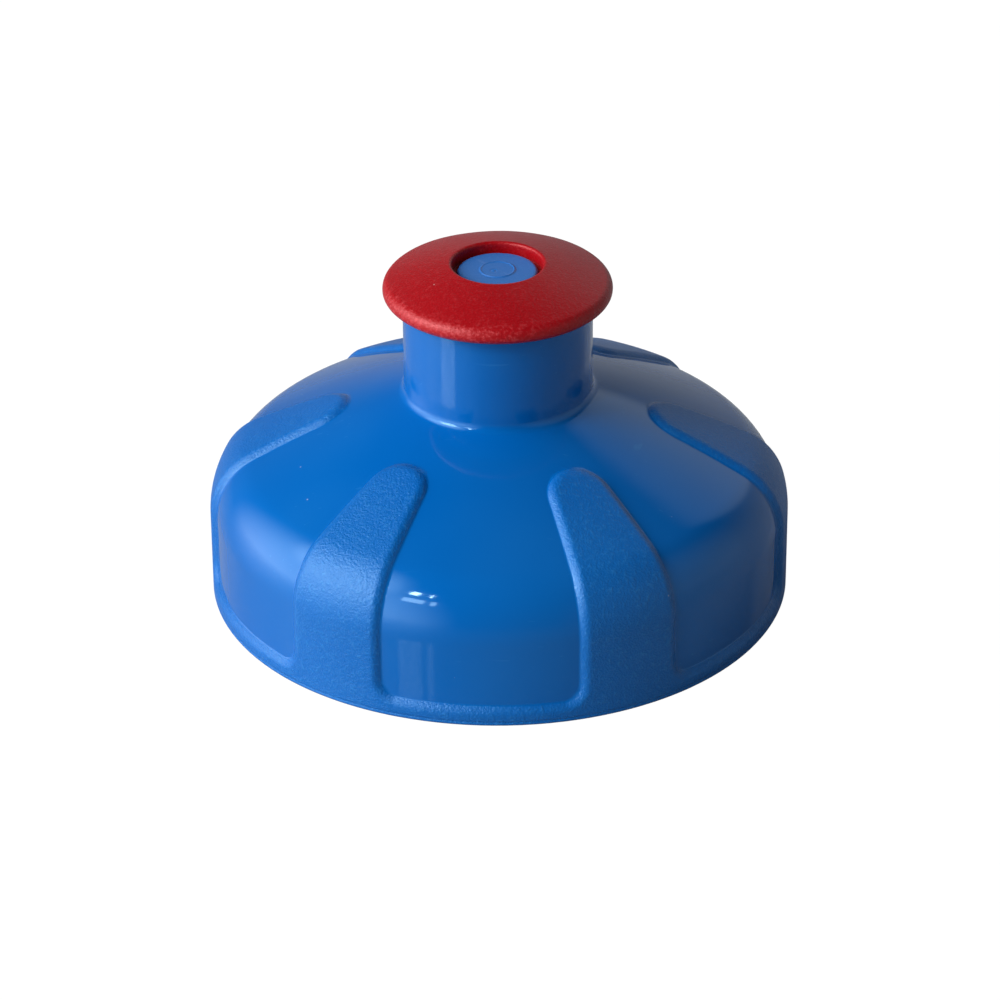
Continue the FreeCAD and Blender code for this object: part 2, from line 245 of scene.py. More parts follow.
@dataclass
class Nodes:
    """A short way to add and join the nodes of one tree."""

    tree: bpy.types.NodeTree

    def add(self, kind: str, **settings: object) -> bpy.types.Node:
        """Adds a node and sets its properties."""
        node = self.tree.nodes.new(kind)
        for key, value in settings.items():
            setattr(node, key, value)
        return node

    def link(self, source: bpy.types.NodeSocket, target: bpy.types.NodeSocket) -> None:
        """Joins two sockets."""
        self.tree.links.new(source, target)

    def math(self, operation: str, a: object, b: object = 0.0, clamp: bool = False) -> bpy.types.NodeSocket:
        """A Math node on two values or sockets; returns its result."""
        node = self.add("ShaderNodeMath", operation=operation, use_clamp=clamp)
        for socket, value in zip(node.inputs, (a, b)):
            self.feed(socket, value)
        return node.outputs[0]

    def feed(self, socket: bpy.types.NodeSocket, value: object) -> None:
        """Sets a socket to a value, or links another socket into it."""
        if isinstance(value, bpy.types.NodeSocket):
            self.link(value, socket)
        else:
            socket.default_value = value

    def blend(self, factor: object, a: object, b: object) -> bpy.types.NodeSocket:
        """A colour Mix from a to b by factor; returns its result."""
        node = self.add("ShaderNodeMix", data_type="RGBA")
        for socket, value in ((node.inputs[0], factor), (node.inputs[6], a), (node.inputs[7], b)):
            self.feed(socket, value)
        return node.outputs[2]

    def shade(self, factor: bpy.types.NodeSocket, first: bpy.types.Node, second: bpy.types.Node) -> bpy.types.Node:
        """A Mix Shader node from the first shader node to the second by factor."""
        node = self.add("ShaderNodeMixShader")
        for socket, source in zip(node.inputs, (factor, first.outputs[0], second.outputs[0])):
            self.link(source, socket)
        return node

    def span(self, value: object, low: object, high: object, to_low: float = 0.0, to_high: float = 1.0,
             kind: str = "LINEAR") -> bpy.types.NodeSocket:
        """A clamped Map Range from low..high to to_low..to_high.

        Args:
            value: The value or socket to map.
            low: Where the range starts.
            high: Where it ends.
            to_low: Result at its start.
            to_high: Result at its end.
            kind: Blender's name for the interpolation.
        Returns:
            The result's socket.
        """
        node = self.add("ShaderNodeMapRange", clamp=True, interpolation_type=kind)
        for socket, item in zip(node.inputs, (value, low, high, to_low, to_high)):
            self.feed(socket, item)
        return node.outputs[0]

    def noise(self, vector: object, scale: object, detail: float, roughness: float = 0.5) -> bpy.types.NodeSocket:
        """A Noise texture; returns its value."""
        node = self.add("ShaderNodeTexNoise")
        self.feed(node.inputs["Vector"], vector)
        self.feed(node.inputs["Scale"], scale)
        node.inputs["Detail"].default_value = detail
        node.inputs["Roughness"].default_value = roughness
        return node.outputs["Fac"]

    def group(self, tree: bpy.types.NodeTree, **inputs: object) -> bpy.types.Node:
        """Places a node group, with its inputs given by name and underscores for spaces."""
        node = self.add("ShaderNodeGroup", node_tree=tree)
        for key, value in inputs.items():
            self.feed(node.inputs[key.replace("_", " ")], value)
        return node


def new_group(name: str, inputs: dict[str, float | None], outputs: list[str]) -> tuple[Nodes, dict, dict]:
    """An empty shader group with named sockets.

    Args:
        name: Group's name.
        inputs: Input name to default value, or None for a vector.
        outputs: Names of the value outputs.
    Returns:
        The helper on the group's tree, its input sockets by name and its output sockets by name.
    """
    tree = bpy.data.node_groups.new(name, "ShaderNodeTree")
    for key, value in inputs.items():
        kind = "NodeSocketVector" if value is None else "NodeSocketFloat"
        socket = tree.interface.new_socket(key, in_out="INPUT", socket_type=kind)
        if value is not None:
            socket.default_value = value
    for key in outputs:
        tree.interface.new_socket(key, in_out="OUTPUT", socket_type="NodeSocketFloat")
    nodes = Nodes(tree)
    source, sink = nodes.add("NodeGroupInput"), nodes.add("NodeGroupOutput")
    return nodes, {key: source.outputs[key] for key in inputs}, {key: sink.inputs[key] for key in outputs}


def spark_grain_group() -> bpy.types.NodeTree:
    """Spark-eroded mould texture: two sizes of soft pits, as a height and a matching tone mask."""
    nodes, source, sink = new_group("spark grain", {"Vector": None, "Scale": 5200.0}, ["Height", "Mask"])
    fine = nodes.noise(source["Vector"], source["Scale"], 2.0, 0.6)
    coarse = nodes.noise(source["Vector"], nodes.math("MULTIPLY", source["Scale"], 0.42), 1.0)
    height = nodes.math("ADD", nodes.math("MULTIPLY", fine, 0.65), nodes.math("MULTIPLY", coarse, 0.35))
    nodes.link(height, sink["Height"])
    nodes.link(nodes.span(height, 0.52, 0.68), sink["Mask"])
    return nodes.tree


def handling_group() -> bpy.types.NodeTree:
    """Marks of use: hairline scratches in two directions, and cloudy patches dulled by rubbing."""
    nodes, source, sink = new_group("handling marks", {"Vector": None, "Amount": 0.5, "Scale": 60.0},
                                    ["Scratches", "Rubbed"])
    lines = []
    for turn_z, stretch in ((0.5, 34.0), (-0.9, 46.0)):
        place = nodes.add("ShaderNodeMapping")
        place.inputs["Rotation"].default_value = (0.4, 0.2, turn_z)
        place.inputs["Scale"].default_value = (1.0, stretch, stretch)
        nodes.link(source["Vector"], place.inputs["Vector"])
        streak = nodes.noise(place.outputs["Vector"], source["Scale"], 1.0)
        lines.append(nodes.span(streak, 0.735, 0.76))
    patch = nodes.noise(source["Vector"], nodes.math("MULTIPLY", source["Scale"], 1.6), 3.0)
    both = nodes.math("MAXIMUM", lines[0], lines[1])
    gated = nodes.math("MULTIPLY", both, nodes.span(patch, 0.5, 0.6))
    nodes.link(nodes.math("MULTIPLY", gated, source["Amount"]), sink["Scratches"])
    nodes.link(nodes.math("MULTIPLY", nodes.span(patch, 0.5, 0.75), source["Amount"]), sink["Rubbed"])
    return nodes.tree


def dust_group() -> bpy.types.NodeTree:
    """Sparse specks of dust: small round cells of a Voronoi pattern, most of them left out by a random value."""
    nodes, source, sink = new_group("dust specks", {"Vector": None, "Scale": 700.0, "Share": 0.06}, ["Mask"])
    cells = nodes.add("ShaderNodeTexVoronoi")
    nodes.link(source["Vector"], cells.inputs["Vector"])
    nodes.link(source["Scale"], cells.inputs["Scale"])
    dots = nodes.span(cells.outputs["Distance"], 0.05, 0.10, 1.0, 0.0)
    split = nodes.add("ShaderNodeSeparateColor")
    nodes.link(cells.outputs["Color"], split.inputs[0])
    chosen = nodes.math("LESS_THAN", split.outputs[0], source["Share"])
    nodes.link(nodes.math("MULTIPLY", dots, chosen), sink["Mask"])
    return nodes.tree


def edge_wear_group() -> bpy.types.NodeTree:
    """Rubbed edges: where the surface turns outwards sharply, broken up by noise."""
    nodes, source, sink = new_group("edge wear", {"Vector": None, "Amount": 0.5, "Sharpness": 0.53}, ["Mask"])
    geometry = nodes.add("ShaderNodeNewGeometry")
    edge = nodes.span(geometry.outputs["Pointiness"], source["Sharpness"],
                      nodes.math("ADD", source["Sharpness"], 0.06))
    broken = nodes.span(nodes.noise(source["Vector"], 900.0, 3.0), 0.42, 0.62)
    nodes.link(nodes.math("MULTIPLY", nodes.math("MULTIPLY", edge, broken), source["Amount"]), sink["Mask"])
    return nodes.tree


@dataclass
class Effects:
    """The shader groups that several finishes share, built once."""

    grain: bpy.types.NodeTree = field(default_factory=spark_grain_group)
    handling: bpy.types.NodeTree = field(default_factory=handling_group)
    dust: bpy.types.NodeTree = field(default_factory=dust_group)
    wear: bpy.types.NodeTree = field(default_factory=edge_wear_group)


# ---------------------------------------------------------------- finishes


@dataclass(frozen=True)
class MouldedPlastic:
    """A moulded plastic whose glossy and grained areas are told apart by the piece's own grip attribute.

    The second colour shows in cloudy patches, in the grain's pits, along scratches and along edges of wear.
    Where the piece's highlight attribute is set, it is also a painted highlight, speckled by noise.
    Each tone is the share of it, from 0 to 1.
    """

    name: str
    color: tuple[float, float, float, float]
    # colour of wear, and of the painted highlight where a piece stores one
    wear_and_highlight_color: tuple[float, float, float, float]
    gloss_roughness: float
    grain_roughness: float
    grain_scale: float = 5200.0
    grain_depth: float = 0.00003
    grain_everywhere: float = 0.0
    scratches: float = 0.6
    dust: float = 0.015
    dust_color: tuple[float, float, float, float] = (0.6, 0.6, 0.58, 1.0)
    cloud_tone: float = 0.10
    grain_tone: float = 0.36
    mark_tone: float = 0.35
    dust_tone: float = 0.35
    # painted highlight: share of the second colour where a piece stores a highlight, and the scale of the noise
    # that speckles it
    highlight_tone: float = 0.75
    highlight_speckle_scale: float = 2200.0
    rubbed_roughness: float = 0.05
    dust_roughness: float = 0.3
    ripple_scale: float = 260.0
    ripple_depth: float = 0.00002
    ripple_strength: float = 0.5
    scratch_depth: float = 0.6
    sheen_tint: tuple[float, float, float, float] = (1.0, 1.0, 1.0, 1.0)

    def build(self, effects: Effects) -> bpy.types.Material:
        """Builds the material.

        Args:
            effects: The shared shader groups.
        Returns:
            The material.
        """
        material = bpy.data.materials.new(self.name)
        material.use_nodes = True
        nodes = Nodes(material.node_tree)
        shader = material.node_tree.nodes["Principled BSDF"]
        place = nodes.add("ShaderNodeTexCoord").outputs["Object"]
        grip_mask = nodes.add("ShaderNodeAttribute", attribute_name="grip").outputs["Fac"]
        grip = nodes.math("MAXIMUM", grip_mask, self.grain_everywhere)
        grain = nodes.group(effects.grain, Vector=place, Scale=self.grain_scale)
        marks = nodes.group(effects.handling, Vector=place, Amount=self.scratches)
        specks = nodes.group(effects.dust, Vector=place, Share=self.dust)
        wear = nodes.group(effects.wear, Vector=place, Amount=self.scratches)
        cloud = nodes.noise(place, 45.0, 2.0)
        tone = nodes.math("MULTIPLY", nodes.span(cloud, 0.35, 0.7), self.cloud_tone)
        pits = nodes.math("MULTIPLY", grain.outputs["Mask"], grip)
        pale = nodes.math("ADD", tone, nodes.math("MULTIPLY", pits, self.grain_tone))
        used = nodes.math("ADD", nodes.math("MULTIPLY", marks.outputs["Scratches"], self.mark_tone),
                          nodes.math("MULTIPLY", wear.outputs["Mask"], self.mark_tone))
        # painted highlight: the second colour in speckled patches where the piece stores a highlight; only the red
        # head does
        painted_rim_highlight = nodes.add("ShaderNodeAttribute", attribute_name="painted_rim_highlight").outputs["Fac"]
        highlight_speckles = nodes.span(nodes.noise(place, self.highlight_speckle_scale, 3.0, 0.65), 0.50, 0.64, 0.0, self.highlight_tone)
        used = nodes.math("ADD", used, nodes.math("MULTIPLY", painted_rim_highlight, highlight_speckles))
        amount = nodes.math("ADD", pale, used, clamp=True)
        base = nodes.blend(amount, self.color, self.wear_and_highlight_color)
        base = nodes.blend(nodes.math("MULTIPLY", specks.outputs["Mask"], self.dust_tone), base, self.dust_color)
        nodes.link(base, shader.inputs["Base Color"])
        rough = nodes.span(grip, 0.0, 1.0, self.gloss_roughness, self.grain_roughness)
        rough = nodes.math("ADD", rough, nodes.math("MULTIPLY", marks.outputs["Rubbed"], self.rubbed_roughness))
        dusty = nodes.math("MULTIPLY", specks.outputs["Mask"], self.dust_roughness)
        rough = nodes.math("ADD", rough, dusty, clamp=True)
        nodes.link(rough, shader.inputs["Roughness"])
        fine = nodes.add("ShaderNodeBump")
        fine.inputs["Distance"].default_value = self.grain_depth
        nodes.link(grip, fine.inputs["Strength"])
        nodes.link(grain.outputs["Height"], fine.inputs["Height"])
        slow = nodes.add("ShaderNodeBump")
        slow.inputs["Distance"].default_value = self.ripple_depth
        slow.inputs["Strength"].default_value = self.ripple_strength
        cuts = nodes.math("MULTIPLY", marks.outputs["Scratches"], self.scratch_depth)
        ripples = nodes.noise(place, self.ripple_scale, 1.0)
        nodes.link(nodes.math("SUBTRACT", ripples, cuts), slow.inputs["Height"])
        nodes.link(fine.outputs["Normal"], slow.inputs["Normal"])
        nodes.link(slow.outputs["Normal"], shader.inputs["Normal"])
        shader.inputs["Specular Tint"].default_value = self.sheen_tint
        return material


@dataclass
class Finishes:
    """Every finish of the cap, by its material slot."""

    effects: Effects = field(default_factory=Effects)
    materials: dict[str, bpy.types.Material] = field(default_factory=dict)

    def __post_init__(self) -> None:
        """Builds the materials."""
        for slot, recipe in {
            "cap_blue": MouldedPlastic("cap blue polypropylene", (0.0, 0.092, 0.345, 1), (0.03, 0.20, 0.48, 1),
                                       0.06, 0.36, grain_scale=3800.0, grain_depth=0.00014,
                                       sheen_tint=(0.45, 0.76, 1.0, 1)),
            "post_blue": MouldedPlastic("post blue polypropylene", (0.012, 0.12, 0.40, 1), (0.12, 0.26, 0.55, 1),
                                        0.30, 0.42, grain_everywhere=0.55, grain_depth=0.00002),
            # the head's second colour is both its wear colour and its painted rim highlight
            "head_red": MouldedPlastic("soft red mouthpiece", (0.285, 0.0, 0.003, 1), (0.42, 0.035, 0.04, 1),
                                       0.33, 0.36, grain_scale=3600.0, grain_everywhere=1.0, grain_depth=0.00010,
                                       scratches=0.8, dust=0.03, sheen_tint=(1.0, 0.45, 0.45, 1)),
            "stem_red": MouldedPlastic("red stem plastic", (0.34, 0.004, 0.008, 1), (0.45, 0.07, 0.07, 1),
                                       0.22, 0.35, scratches=0.4, dust=0.0),
            "gasket_white": MouldedPlastic("pale soft gasket", (0.70, 0.70, 0.68, 1), (0.80, 0.80, 0.78, 1),
                                           0.45, 0.5, grain_everywhere=0.6, scratches=0.2, dust=0.02),
            "seal_black": MouldedPlastic("black seal rubber", (0.016, 0.016, 0.018, 1), (0.05, 0.05, 0.05, 1),
                                         0.30, 0.4, grain_everywhere=0.3, scratches=0.1, dust=0.0),
        }.items():
            self.materials[slot] = recipe.build(self.effects)

    def dress(self, piece: bpy.types.Object, slot: str, body: str, *nodes: str) -> None:
        """Gives a piece its finish, its body and the CAD nodes that it stands for.

        Args:
            piece: The new piece.
            slot: The material slot, which names the finish too.
            body: The body that it rides on.
            nodes: CAD nodes that it replaces.
        """
        piece.data.materials.append(self.materials[slot])
        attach(piece, body)
        if nodes:
            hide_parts(*nodes)
        log.info("%s: %d faces on %s", piece.name, len(piece.data.polygons), body)


# ---------------------------------------------------------------- screw cap


@dataclass
class ScrewCap:
    """The moulded cap: one closed surface with ribs and rim band outside and the thread inside."""

    finishes: Finishes
    # skirt, shoulder, crown and neck
    crest_r: float = 31.4
    thread_depth: float = 1.25
    skirt_wall: float = 1.7
    dome_wall: float = 1.7
    wall_top: float = 10.4
    shoulder_r: float = 8.5
    shoulder_slope: float = 28.1
    dome_r: float = 140.0
    neck_r: float = 11.3
    neck_fillet: float = 1.2
    # rim band with its parting line, and ribs
    band_h: float = 2.5
    band_line_z: float = 0.55
    band_line_depth: float = 0.07
    band_line_w: float = 0.06
    rib_count: int = 6
    rib_rise: float = 0.65
    rib_half_angle: float = 10.4
    rib_tip_r: float = 17.9
    rib_edge: float = 1.2
    panel_corner_r: float = 2.0
    foot_fade: float = 2.0
    # thread: a ridge on the inner wall, that many turns long, which fades out over a share of a turn
    thread_pitch: float = 3.6
    thread_turns: float = 1.5
    thread_start: float = 2.8
    thread_root_w: float = 2.4
    thread_crest_w: float = 1.0
    thread_fade: float = 0.03
    thread_end_z: float = 0.5
    thread_step: float = 0.28
    # flat rim
    rim_round: float = 0.36
    rim_chamfer: float = 0.5
    rim_flat_from: float = 0.8
    rim_ramp_from: float = 0.6
    rim_ramp_w: float = 0.8
    # lip, bore, socket of the insert, ceiling, seat of the gasket
    lip_r: float = 9.3
    lip_h: float = 1.4
    lip_chamfer: float = 0.6
    bore_r: float = 9.8
    socket_r: float = 10.3
    socket_top: float = 24.4
    socket_foot: float = 20.6
    collar_r: float = 11.6
    seal_ring_in: float = 26.9
    seal_ring_out: float = 27.9
    seal_ring_z: float = 13.2
    seat_clear: float = 0.6
    seat_top: float = 14.4
    seat_foot: float = 12.2
    land_z: float = 10.4
    # spacing of the points: heights up the wall, steps, and columns close to a rib's edge
    wall_rows: tuple[float, ...] = (0.36, 0.46, 0.52, 0.58, 0.66, 0.9, 1.2, 1.45)
    fine_above_band: float = 1.2
    fine_step: float = 0.14
    wall_step: float = 0.55
    neck_step: float = 2.6
    edge_inside: float = 3.4
    edge_outside: float = 0.4
    edge_beyond: float = 3.6
    edge_columns: tuple[int, ...] = (5, 13, 5, 6)
    tip_beyond: float = 5.2
    # grained area: how far it runs past a rib's foot, how it fades, and its strength on the rim
    grain_past_foot: float = 0.1
    grain_fade: float = 0.35
    rim_grip: float = 0.35

    def __post_init__(self) -> None:
        """Works out the circles that the outline is made of."""
        self.major_r = self.crest_r + self.thread_depth
        self.panel_r = self.major_r + self.skirt_wall
        self.foot_r = self.neck_r + self.neck_fillet
        self.neck_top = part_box("cap_shell")[1].z / MM
        self.shoulder_end = 90.0 - self.shoulder_slope
        self.shoulder_c = (self.panel_r - self.shoulder_r, self.wall_top)
        reach = self.dome_r - self.shoulder_r
        angle = math.radians(self.shoulder_end)
        self.dome_c = (self.shoulder_c[0] - reach * math.cos(angle), self.shoulder_c[1] - reach * math.sin(angle))

    def dome_angle(self, r: float, offset: float = 0.0) -> float:
        """Angle of the crown circle, in degrees, where it passes radius r."""
        return math.degrees(math.acos((r - self.dome_c[0]) / (self.dome_r + offset)))

    def outside(self) -> Array:
        """Outline of the panels, from the rim up the wall, over shoulder and dome and up the neck."""
        tip = self.rib_tip_r
        fillet_reach = self.dome_r + self.neck_fillet
        fillet_z = self.dome_c[1] + math.sqrt(fillet_reach ** 2 - (self.foot_r - self.dome_c[0]) ** 2)
        foot = math.degrees(math.atan2(fillet_z - self.dome_c[1], self.foot_r - self.dome_c[0]))
        edge = Edge.SOFT.value
        wall = np.array([[self.panel_r, z] for z in self.wall_rows])
        low = run(wall[-1], np.array([self.panel_r, self.band_h + self.fine_above_band]), self.fine_step)
        high = run(low[-1], np.array([self.panel_r, self.shoulder_c[1]]), self.wall_step)
        shoulder = arc(self.shoulder_c, self.shoulder_r, 0.0, self.shoulder_end, 20)
        tips_start, tips_end = self.dome_angle(tip + self.tip_beyond), self.dome_angle(tip - self.edge_outside)
        crown = arc(self.dome_c, self.dome_r, self.shoulder_end, tips_start, 12)
        tips = arc(self.dome_c, self.dome_r, tips_start, tips_end, 26)
        inner = arc(self.dome_c, self.dome_r, tips_end, foot, 6)
        fillet = arc((self.foot_r, fillet_z), self.neck_fillet, foot + 180.0, 180.0, 8)
        neck_end = np.array([self.neck_r, self.neck_top - edge])
        neck = run(fillet[-1], neck_end, self.neck_step)
        top = arc((self.neck_r - edge, self.neck_top - edge), edge, 0.0, 90.0, 4)
        return chain(wall, low, high, shoulder, crown, tips, inner, fillet, neck, top)

    def inside(self) -> Array:
        """Outline from the neck's lip down through the bore, socket, ceiling and gasket seat to the rim."""
        seat_r, rim_r = self.crest_r + self.seat_clear, self.panel_r - self.rim_round
        lip_foot, ring_z = self.neck_top - self.lip_h, self.seal_ring_z
        ceiling = arc(self.dome_c, self.dome_r - self.dome_wall, self.dome_angle(self.collar_r, -self.dome_wall),
                      self.dome_angle(self.seal_ring_in, -self.dome_wall), 12)
        upper = rounded([(self.lip_r + self.lip_chamfer, self.neck_top), (self.lip_r, self.neck_top),
                         (self.lip_r, lip_foot), (self.bore_r, lip_foot), (self.bore_r, self.socket_top),
                         (self.socket_r, self.socket_top), (self.socket_r, self.socket_foot),
                         (self.collar_r, self.socket_foot), tuple(ceiling[0])],
                        Edge.MOULDED.value, 3.0, closed=False)
        lower = rounded([tuple(ceiling[-1]), (self.seal_ring_in, ring_z), (self.seal_ring_out, ring_z),
                         (self.seal_ring_out, self.seat_top), (seat_r, self.seat_top), (seat_r, self.seat_foot),
                         (self.crest_r, self.seat_foot), (self.crest_r, self.land_z),
                         (self.major_r, self.land_z - self.thread_depth)], Edge.CRISP.value, 1.5, closed=False)
        thread = run(lower[-1], np.array([self.major_r, self.thread_end_z]), self.thread_step)
        rim = rounded([(self.major_r, self.thread_end_z), (self.major_r + self.rim_chamfer, 0.0), (rim_r, 0.0)],
                      Edge.CRISP.value, 0.6, closed=False)
        corner = arc((rim_r, self.rim_round), self.rim_round, -90.0, 0.0, 4)
        return chain(upper, ceiling, lower, thread, rim, corner)

    def columns(self) -> Array:
        """Angles round the cap, close together where a rib's edge runs."""
        rib = self.rib_half_angle
        stops = (0.0, rib - self.edge_inside, rib + self.edge_outside, rib + self.edge_beyond,
                 180.0 / self.rib_count)
        half = np.concatenate([np.linspace(start, end, count, endpoint=False)
                               for start, end, count in zip(stops, stops[1:], self.edge_columns)])
        sector = np.concatenate([half, 360.0 / self.rib_count - half[:0:-1], [180.0 / self.rib_count]])
        sector = np.sort(sector)
        turns = np.arange(self.rib_count)[:, None] * 360.0 / self.rib_count
        return np.radians((turns + sector).ravel())

    def panel_depth(self, r: Array, z: Array, angle: Array) -> Array:
        """How far a point lies inside a panel, in millimetres; negative on a rib or on the band.

        Seen from above, a rib is a wedge whose inner end is a circle of radius c sin(a) about the point c on its
        middle line, for half angle a. The distance is to that circle near the tip, and to the wedge's side
        beyond it. On the wall the distance above the band joins it, with the corner rounded.

        Args:
            r: Radii of the points.
            z: Their heights.
            angle: Their angles about the axis.
        Returns:
            The distances, shaped like the points.
        """
        pitch = TAU / self.rib_count
        off = np.abs((angle + pitch / 2) % pitch - pitch / 2)
        a = math.radians(self.rib_half_angle)
        u, v = r * np.cos(off), r * np.sin(off)
        c = self.rib_tip_r / (1.0 - math.sin(a))
        side = v * math.cos(a) - u * math.sin(a)
        tip = np.hypot(u - c, v) - c * math.sin(a)
        rib = np.where(u * math.cos(a) + v * math.sin(a) < c * math.cos(a), tip, side)
        band = z - self.band_h
        corner = self.panel_corner_r
        round_off = corner - np.hypot(corner - rib, corner - band)
        return np.where((rib < corner) & (band < corner), round_off, np.minimum(rib, band))

    def thread_height(self, z: Array, angle: Array) -> Array:
        """Height of the thread over its root: a trapezoid about z = start + pitch turns, faded at both ends."""
        height = np.zeros(np.broadcast(z, angle).shape)
        for n in range(int(math.ceil(self.thread_turns))):
            turns = n + (angle % TAU) / TAU
            centre = self.thread_start + self.thread_pitch * turns
            flank = (self.thread_root_w - self.thread_crest_w) / 2.0
            shape = smooth((self.thread_root_w / 2.0 - np.abs(z - centre)) / flank)
            fade = smooth(turns / self.thread_fade) * smooth((self.thread_turns - turns) / self.thread_fade)
            height = np.maximum(height, shape * fade)
        return height * self.thread_depth

    def surface(self) -> tuple[Array, Array]:
        """The whole surface as a function of outline position and angle.

        A point is the outline turned about Z. Outside, it moves along the outline's normal by the rib's rise times
        1 - (1 - t)^2, where t goes from 0 at the rib's foot to 1 one edge width in. The thread moves the
        inner wall's points towards the axis.

        Returns:
            The grid of points, and how much of each point is grained rib or band, from 0 to 1.
        """
        outer, inner = self.outside(), self.inside()
        inner = inner[:-1] if np.allclose(inner[-1], outer[0], atol=1e-6) else inner
        outline = np.concatenate([outer, inner])
        normal = outline_normals(outline)
        angles = self.columns()
        r, z = outline[:, :1], outline[:, 1:]
        is_outer = (np.arange(len(outline)) < len(outer))[:, None]
        depth = self.panel_depth(r, z, angles[None, :])
        t = np.clip(-depth / self.rib_edge, 0.0, 1.0)
        fade_in = smooth((r - self.foot_r) / self.foot_fade)
        lift = np.where(is_outer, 1.0 - (1.0 - t) ** 2, 0.0) * fade_in
        rim = (~is_outer) & (r > self.major_r + self.rim_flat_from) & (z < self.thread_end_z)
        lift = np.where(rim, 1.0, lift) * self.rib_rise
        line = np.exp(-((z - self.band_line_z) / self.band_line_w) ** 2) * is_outer * self.band_line_depth
        moved_r = r + normal[:, :1] * (lift - line)
        moved_z = z + normal[:, 1:] * np.where(rim, 0.0, lift)
        on_root = (~is_outer) & (r > self.major_r - TOUCH) & (z > self.thread_end_z) & (z < self.land_z)
        moved_r = moved_r - np.where(on_root, self.thread_height(z, angles[None, :]), 0.0)
        ramp = smooth((r - self.major_r - self.rim_ramp_from) / self.rim_ramp_w)
        moved_r = np.where(rim, r + self.rib_rise * ramp, moved_r)
        grid = np.stack([moved_r * np.cos(angles), moved_r * np.sin(angles), moved_z + 0.0 * moved_r], axis=2)
        grained = smooth((self.grain_past_foot - depth) / self.grain_fade) * fade_in
        return grid, np.where(is_outer, grained, self.rim_grip)

    def build(self) -> None:
        """Builds and dresses the cap."""
        grid, grip = self.surface()
        piece = solid_mesh("screw_cap", grid)
        store(piece, "grip", grip)
        self.finishes.dress(piece, "cap_blue", "cap", "cap_shell")


# ---------------------------------------------------------------- parts inside the cap


@dataclass
class RimGasket:
    """The flat ring that seals on the bottle, with its edges rounded and a shallow pressed track."""

    finishes: Finishes
    columns: int = 180
    width: float = 3.95
    track_depth: float = 0.12
    track_w: float = 0.9
    face_h: float = 0.05

    def build(self) -> None:
        """Builds the ring: a rounded rectangle turned about Z, its lower face dented where the bottle presses."""
        low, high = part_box("rim_gasket")
        out_r, z0, z1 = high.x / MM, low.z / MM, high.z / MM
        in_r = out_r - self.width
        outline = rounded([(in_r, z0), (out_r, z0), (out_r, z1), (in_r, z1)], Edge.MOULDED.value, 0.3)
        middle = (in_r + out_r) / 2.0
        on_face = np.exp(-((outline[:, 0] - middle) / self.track_w) ** 4) * (outline[:, 1] < z0 + self.face_h)
        outline[:, 1] += on_face * self.track_depth
        piece = solid_mesh("rim_gasket_ring", turn(outline, even(self.columns)))
        self.finishes.dress(piece, "gasket_white", "cap", "rim_gasket")


